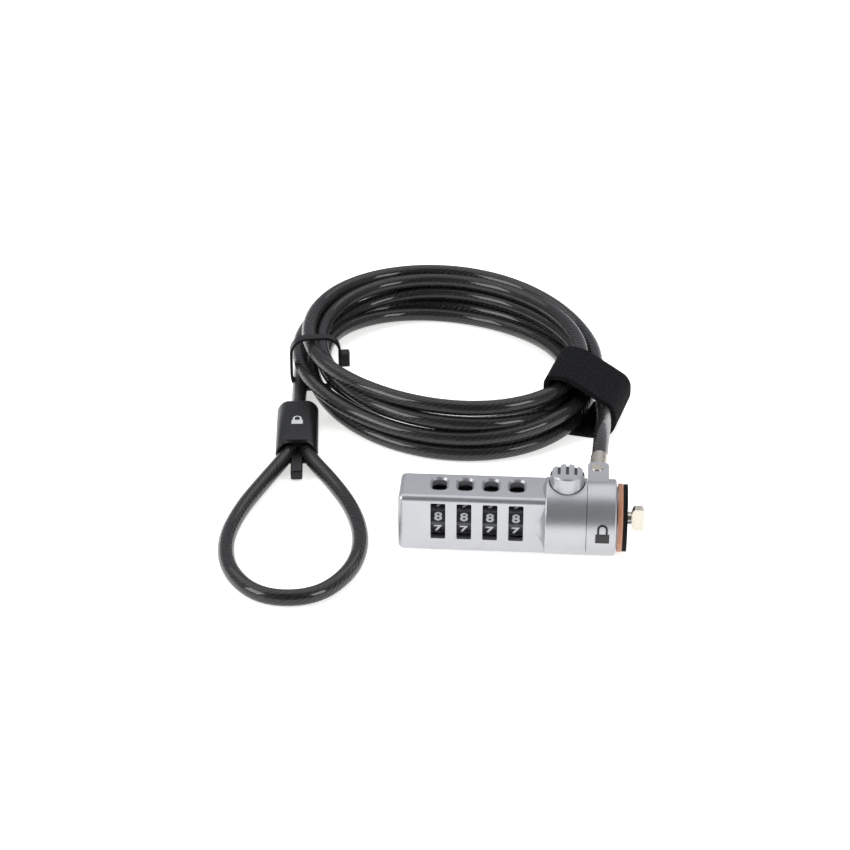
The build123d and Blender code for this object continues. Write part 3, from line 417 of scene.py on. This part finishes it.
webbing, surface = new_material("woven nylon hook-and-loop strap")
space = add(webbing, "ShaderNodeTexCoord")
walked = add(webbing, "ShaderNodeAttribute", attribute_name="along")
rib_count = add(webbing, "ShaderNodeMath", {0: walked.outputs["Fac"], 1: 1 / 0.0013}, operation="MULTIPLY")
ribs = add(webbing, "ShaderNodeMath", {0: rib_count.outputs[0], 1: 0.5}, operation="PINGPONG")
pile = add(webbing, "ShaderNodeTexVoronoi", {"Vector": space.outputs["Object"], "Scale": 2200.0})
hair = add(webbing, "ShaderNodeTexNoise", {"Vector": space.outputs["Object"], "Scale": 900.0, "Detail": 4.0})
nap = add(webbing, "ShaderNodeMath", {0: pile.outputs["Distance"], 1: hair.outputs["Fac"]}, operation="ADD")
weave = add(webbing, "ShaderNodeMath", {0: nap.outputs[0], 1: ribs.outputs[0]}, operation="ADD")
cloth_tone = add(webbing, "ShaderNodeValToRGB", {"Fac": weave.outputs[0]})
cloth_tone.color_ramp.elements[0].position = 0.75
cloth_tone.color_ramp.elements[0].color = rgb("#020202")
cloth_tone.color_ramp.elements[1].color = rgb("#131416")
cloth_bump = add(webbing, "ShaderNodeBump", {"Height": weave.outputs[0], "Strength": 1.0, "Distance": 0.0006})
link(webbing, cloth_tone.outputs["Color"], surface.inputs["Base Color"])
link(webbing, cloth_bump.outputs["Normal"], surface.inputs["Normal"])
surface.inputs["Roughness"].default_value = 0.95
surface.inputs["Sheen Weight"].default_value = 0.03
surface.inputs["Sheen Roughness"].default_value = 0.5
surface.inputs["Specular IOR Level"].default_value = 0.08
strap = from_bmesh("strap_webbing", bm, webbing)
wall = strap.modifiers.new("wall", "SOLIDIFY")
wall.thickness = strap_thick
wall.offset = -1
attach(strap, "cable")
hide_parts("strap")

# ---------------------------------------------------------------- lock body, cover, collar and nose
# Zinc die castings, tumbled and plated in satin nickel. The skin is finely orange-peeled from the mould,
# with a soft metal sheen and a tone that varies a little in patches and fine flakes.
zinc, surface = new_material("satin nickel plated zinc die casting")
space = add(zinc, "ShaderNodeTexCoord")
peel = add(zinc, "ShaderNodeTexNoise", {"Vector": space.outputs["Object"], "Scale": 1600.0, "Detail": 3.0})
flakes = add(zinc, "ShaderNodeTexVoronoi", {"Vector": space.outputs["Object"], "Scale": 4500.0})
patches = add(zinc, "ShaderNodeTexNoise", {"Vector": space.outputs["Object"], "Scale": 120.0, "Detail": 2.0})
mixed = add(zinc, "ShaderNodeMath", {0: patches.outputs["Fac"], 1: flakes.outputs["Distance"]}, operation="ADD")
zinc_tone = add(zinc, "ShaderNodeValToRGB", {"Fac": mixed.outputs[0]})
zinc_tone.color_ramp.elements[0].position = 0.3
zinc_tone.color_ramp.elements[0].color = rgb("#A2A3A7")
zinc_tone.color_ramp.elements[1].position = 1.0
zinc_tone.color_ramp.elements[1].color = rgb("#B5B6B9")
zinc_rough = add(zinc, "ShaderNodeMapRange", {"Value": peel.outputs["Fac"], "To Min": 0.3, "To Max": 0.44})
zinc_bump = add(zinc, "ShaderNodeBump", {"Height": peel.outputs["Fac"], "Strength": 0.2, "Distance": 0.00006})
link(zinc, zinc_tone.outputs["Color"], surface.inputs["Base Color"])
link(zinc, zinc_rough.outputs["Result"], surface.inputs["Roughness"])
link(zinc, zinc_bump.outputs["Normal"], surface.inputs["Normal"])
surface.inputs["Metallic"].default_value = 0.85
dress(zinc, "housing", "back_cover", "swivel_collar", "nose_sleeve", "hub_1", "hub_2", "hub_3", "hub_4")

# ---------------------------------------------------------------- push button
# The same plated casting, with painted shade darkening the grip grooves of its top.
button_zinc = zinc.copy()
button_zinc.name = "nickel plated zinc, dirt in the grip grooves"
surface = button_zinc.node_tree.nodes["Principled BSDF"]
unshaded_zinc_colour = surface.inputs["Base Color"].links[0].from_socket
space = add(button_zinc, "ShaderNodeTexCoord")
button_axis = (0.0121, -0.0008)
apart = add(button_zinc, "ShaderNodeSeparateXYZ", {"Vector": space.outputs["Object"]})
# painted shade: below the tops of the grip ridges and inside the button's rim, the zinc colour turns dark grey-blue
deep = add(button_zinc, "ShaderNodeMapRange", {"Value": apart.outputs["Z"], "From Min": 0.0239, "From Max": 0.0234})
from_middle = add(button_zinc, "ShaderNodeMapping", {"Vector": space.outputs["Object"], "Location": (-button_axis[0], -button_axis[1], 0), "Scale": (1.0, 1.0, 0.0)})
reach = add(button_zinc, "ShaderNodeVectorMath", {0: from_middle.outputs["Vector"]}, operation="LENGTH")
inside = add(button_zinc, "ShaderNodeMapRange", {"Value": reach.outputs["Value"], "From Min": 0.0046, "From Max": 0.0045})
painted_shade = add(button_zinc, "ShaderNodeMath", {0: deep.outputs["Result"], 1: inside.outputs["Result"]}, operation="MULTIPLY")
# mixes the painted groove shade into the zinc colour
groove_shaded_colour = add(button_zinc, "ShaderNodeMix", {"Factor": painted_shade.outputs[0], "A": unshaded_zinc_colour, "B": rgb("#4C5057")}, data_type="RGBA")
link(button_zinc, groove_shaded_colour.outputs["Result"], surface.inputs["Base Color"])
dress(button_zinc, "button")

# ---------------------------------------------------------------- dials and digits
# Acetal rings with ten flats, moulded in black. The ridges between the flats are painted patchy grey as a painted
# highlight where they catch light; the digits are pad printed in white, a tenth of a millimetre proud of the flat.
dial_axis = (-0.0008, 0.0104)
dial_places = [(-33.2 + 10.85 + 7.0 * i) / 1000 for i in range(4)]
dial_corner = 0.0062
flat_radius = dial_corner * math.cos(math.radians(18))
acetal, surface = new_material("black acetal")
space = add(acetal, "ShaderNodeTexCoord")
from_axis = add(acetal, "ShaderNodeMapping", {"Vector": space.outputs["Object"], "Location": (0, -dial_axis[0], -dial_axis[1]), "Scale": (0.0, 1.0, 1.0)})
reach = add(acetal, "ShaderNodeVectorMath", {0: from_axis.outputs["Vector"]}, operation="LENGTH")
ridge = add(acetal, "ShaderNodeMapRange", {"Value": reach.outputs["Value"], "From Min": 0.00603, "From Max": 0.00613})
ridge_patches = add(acetal, "ShaderNodeTexNoise", {"Vector": space.outputs["Object"], "Scale": 1500.0, "Detail": 3.0})
# painted highlight: the ridges between the flats turn patchy grey
ridge_highlight = add(acetal, "ShaderNodeMath", {0: ridge.outputs["Result"], 1: ridge_patches.outputs["Fac"]}, operation="MULTIPLY")
dial_tone = add(acetal, "ShaderNodeValToRGB", {"Fac": ridge_highlight.outputs[0]})
dial_tone.color_ramp.elements[0].color = rgb("#070708")
dial_tone.color_ramp.elements[1].position = 0.6
dial_tone.color_ramp.elements[1].color = rgb("#4A4B4F")
link(acetal, dial_tone.outputs["Color"], surface.inputs["Base Color"])
surface.inputs["Roughness"].default_value = 0.35
dress(acetal, "dial_1", "dial_2", "dial_3", "dial_4")

ink, surface = new_material("white pad-printing ink")
space = add(ink, "ShaderNodeTexCoord")
thin = add(ink, "ShaderNodeTexNoise", {"Vector": space.outputs["Object"], "Scale": 3000.0, "Detail": 2.0})
ink_tone = add(ink, "ShaderNodeValToRGB", {"Fac": thin.outputs["Fac"]})
ink_tone.color_ramp.elements[0].color = rgb("#B4B6B8")
ink_tone.color_ramp.elements[1].color = rgb("#D2D4D6")
link(ink, ink_tone.outputs["Color"], surface.inputs["Base Color"])
surface.inputs["Roughness"].default_value = 0.5

for number, place in enumerate(dial_places, 1):
    bm = bmesh.new()
    for digit in range(10):
        letter = bpy.data.curves.new("digit", "FONT")
        letter.body = str(digit)
        letter.align_x = "CENTER"
        letter.size = 0.0031
        letter.offset = 0.00009
        letter.extrude = 0.00004
        letter.resolution_u = 4
        holder = bpy.data.objects.new("digit", letter)
        glyph = bpy.data.meshes.new_from_object(holder)
        bpy.data.objects.remove(holder)
        low = min(v.co.y for v in glyph.vertices)
        high = max(v.co.y for v in glyph.vertices)
        left = min(v.co.x for v in glyph.vertices)
        right = max(v.co.x for v in glyph.vertices)
        up_angle = math.radians(18 + 36 * (digit - 8))
        normal = Vector((0, -math.cos(up_angle), math.sin(up_angle)))
        up = Vector((0, math.sin(up_angle), math.cos(up_angle)))
        turn = Matrix((Vector((1, 0, 0)), up, normal)).transposed().to_4x4()
        turn.translation = Vector((place, *dial_axis)) + normal * (flat_radius + 0.00003)
        centre = Matrix.Translation((-(left + right) / 2, -(low + high) / 2, 0))
        widen = Matrix.Diagonal((1.42, 1.0, 1.0, 1.0))
        glyph.transform(turn @ widen @ centre)
        bm.from_mesh(glyph)
    bmesh.ops.remove_doubles(bm, verts=bm.verts, dist=1e-7)
    bmesh.ops.recalc_face_normals(bm, faces=bm.faces)
    digits = from_bmesh(f"digits_{number}", bm, ink, smooth=False)
    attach(digits, f"dial_{number}")

# ---------------------------------------------------------------- nose: spacer ring and face pad
# Moulded orange-brown ring behind a thin black rubber pad that keeps the lock from marking the case.
polymer, surface = new_material("moulded orange-brown polypropylene")
space = add(polymer, "ShaderNodeTexCoord")
flow = add(polymer, "ShaderNodeTexNoise", {"Vector": space.outputs["Object"], "Scale": 700.0, "Detail": 3.0})
ring_tone = add(polymer, "ShaderNodeValToRGB", {"Fac": flow.outputs["Fac"]})
ring_tone.color_ramp.elements[0].color = rgb("#9A6A52")
ring_tone.color_ramp.elements[1].color = rgb("#BA8265")
link(polymer, ring_tone.outputs["Color"], surface.inputs["Base Color"])
surface.inputs["Roughness"].default_value = 0.4
dress(polymer, "spacer_ring")

rubber, surface = new_material("black nitrile rubber")
space = add(rubber, "ShaderNodeTexCoord")
bloom = add(rubber, "ShaderNodeTexNoise", {"Vector": space.outputs["Object"], "Scale": 2500.0, "Detail": 3.0})
pad_tone = add(rubber, "ShaderNodeValToRGB", {"Fac": bloom.outputs["Fac"]})
pad_tone.color_ramp.elements[0].color = rgb("#060606")
pad_tone.color_ramp.elements[1].color = rgb("#101010")
pad_bump = add(rubber, "ShaderNodeBump", {"Height": bloom.outputs["Fac"], "Strength": 0.2, "Distance": 0.00005})
link(rubber, pad_tone.outputs["Color"], surface.inputs["Base Color"])
link(rubber, pad_bump.outputs["Normal"], surface.inputs["Normal"])
surface.inputs["Roughness"].default_value = 0.8
surface.inputs["Specular IOR Level"].default_value = 0.15
dress(rubber, "face_pad")

# ---------------------------------------------------------------- steel and brass inside
# Turned and drawn small parts: zinc plated screws and pins, a hardened core, music wire springs, and
# a brass tube and setting screw.
turned_steel, surface = new_material("turned and plated steel")
surface.inputs["Base Color"].default_value = rgb("#B4B5B4")
surface.inputs["Metallic"].default_value = 1.0
space = add(turned_steel, "ShaderNodeTexCoord")
turning = add(turned_steel, "ShaderNodeTexNoise", {"Vector": space.outputs["Object"], "Scale": 3500.0, "Detail": 2.0})
steel_rough = add(turned_steel, "ShaderNodeMapRange", {"Value": turning.outputs["Fac"], "To Min": 0.24, "To Max": 0.42})
link(turned_steel, steel_rough.outputs["Result"], surface.inputs["Roughness"])
dress(turned_steel, "cover_screws", "nose_screws", "slot_pins", "core_shaft", "pinion", "button_stop_pin", "set_screw_pin", "loop_crimp")
wire, surface = new_material("blued music wire")
surface.inputs["Base Color"].default_value = rgb("#6F7074")
surface.inputs["Metallic"].default_value = 1.0
surface.inputs["Roughness"].default_value = 0.3
dress(wire, "click_spring", "spindle_clip")
# the two compression springs are copied from the CAD parts and fixed to the housing as they stand,
# and the button's is wound a little slimmer, to pass the pinion
for spring_name, joint, axis, anchor, keep, slim, forward in (
    ("button_spring", "button_press", (0, 0, 1), (0.0121, -0.0040, 0.00892), 0.765, (0.85, 0.85, 1), 0.0002),
    ("core_spring", "core_slide", (1, 0, 0), (-0.03075, -0.0008, 0.0104), 0.662, (1, 1, 1), 0.0),
):
    cad_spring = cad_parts[spring_name]
    coils = cad_spring.data.copy()
    coils.transform(cad_spring.matrix_world)
    coils.transform(
        Matrix.Translation(Vector(anchor) + Vector((0, -forward, 0)))
        @ Matrix.Diagonal((*slim, 1.0))
        @ Matrix.Translation(-Vector(anchor))
    )
    wound = piece(spring_name + "_wire", coils, wire)
    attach(wound, "housing")
    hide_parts(spring_name)
    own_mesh(wound)
brass, surface = new_material("machined brass")
surface.inputs["Base Color"].default_value = rgb("#C9A35A")
surface.inputs["Metallic"].default_value = 1.0
surface.inputs["Roughness"].default_value = 0.28
dress(brass, "hub_tube", "set_screw")

# ---------------------------------------------------------------- printed padlock signs
# A plain padlock pictogram, pad printed in black on the swivel collar and in white on the sleeve.


def padlock_sign():
    """A flat padlock, 2.2 mm wide and 3.2 mm high, cut fine enough to be bent."""
    sign = bmesh.new()
    bmesh.ops.create_grid(sign, x_segments=8, y_segments=8, size=1)
    bmesh.ops.scale(sign, vec=(0.0011, 0.00085, 1), verts=sign.verts)
    bmesh.ops.translate(sign, vec=(0, -0.0007, 0), verts=sign.verts)
    steps = 16
    outline = [(0.00085, 0.0)] + [(0.00085 * math.cos(math.pi * i / steps), 0.0008 + 0.00085 * math.sin(math.pi * i / steps)) for i in range(steps + 1)] + [(-0.00085, 0.0)]
    inner = [(x * 0.58, y if y == 0.0 else 0.0008 + (y - 0.0008) * 0.58) for x, y in outline]
    outer_row = [sign.verts.new((x, y + 0.00015, 0)) for x, y in outline]
    inner_row = [sign.verts.new((x, y + 0.00015, 0)) for x, y in inner]
    for i in range(len(outline) - 1):
        sign.faces.new((outer_row[i], outer_row[i + 1], inner_row[i + 1], inner_row[i]))
    bmesh.ops.recalc_face_normals(sign, faces=sign.faces)
    if sum(f.normal.z for f in sign.faces) < 0:
        bmesh.ops.reverse_faces(sign, faces=sign.faces)
    return sign


black_ink, surface = new_material("black pad-printing ink")
space = add(black_ink, "ShaderNodeTexCoord")
thin = add(black_ink, "ShaderNodeTexNoise", {"Vector": space.outputs["Object"], "Scale": 3000.0, "Detail": 2.0})
ink_tone = add(black_ink, "ShaderNodeValToRGB", {"Fac": thin.outputs["Fac"]})
ink_tone.color_ramp.elements[0].color = rgb("#0C0C0C")
ink_tone.color_ramp.elements[1].color = rgb("#1C1C1C")
link(black_ink, ink_tone.outputs["Color"], surface.inputs["Base Color"])
surface.inputs["Roughness"].default_value = 0.45
bm = padlock_sign()
collar_r, collar_x = 0.01045, 0.0219
for v in bm.verts:
    angle = math.radians(2) + v.co.y * 1.7 / collar_r
    v.co = (collar_x + v.co.x * 1.7, dial_axis[0] - collar_r * math.cos(angle), dial_axis[1] + collar_r * math.sin(angle))
collar_sign = from_bmesh("collar_sign", bm, black_ink)
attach(collar_sign, "collar")
bm = padlock_sign()
bmesh.ops.scale(bm, vec=(1.5, 1.5, 1), verts=bm.verts)
upward = Matrix((-sleeve_side, -sleeve_axis, sleeve_up)).transposed().to_4x4()
if sleeve_up.z < 0:
    upward = Matrix((sleeve_side, -sleeve_axis, -sleeve_up)).transposed().to_4x4()
upward.translation = (sleeve_back + sleeve_front) / 2 + Vector((0, 0, sleeve_thick / 2 * (0.92 + 0.26 * 0.75) + 0.00004))
bmesh.ops.transform(bm, matrix=upward, verts=bm.verts)
sleeve_sign = from_bmesh("sleeve_sign", bm, ink)
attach(sleeve_sign, "cable")
